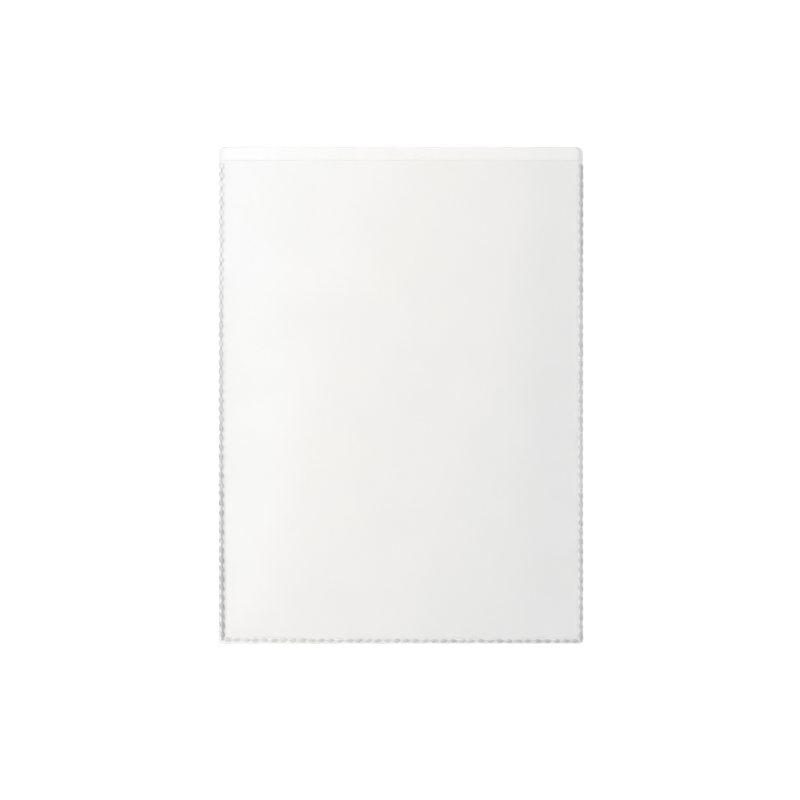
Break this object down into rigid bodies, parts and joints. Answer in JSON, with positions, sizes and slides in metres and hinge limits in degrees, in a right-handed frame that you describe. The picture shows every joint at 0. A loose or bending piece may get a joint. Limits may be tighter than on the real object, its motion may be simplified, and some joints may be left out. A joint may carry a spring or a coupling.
{
  "type": "card holder sleeve",
  "caption": "Clear flat film sleeve for a card: a front film welded to a taller back film on three sides by a beaded seam, open at the top.",
  "frame": {"origin": "middle of the back sheet's rear face, the face the sleeve lies on", "axes": "+Y up the sleeve towards its open mouth, +Z out of the front sheet, +X to the right seen from the front"},
  "size_m": [0.08, 0.109, 0.0008],
  "materials": {
    "clear_film": "clear, glossy",
    "fused_film": "clear, pressed with a stitch pattern"
  },
  "bodies": {
    "root": {"back_sheet": "clear_film", "front_sheet": "clear_film", "left_weld": "fused_film", "bottom_weld": "fused_film", "right_weld": "fused_film"}
  },
  "joints": []
}
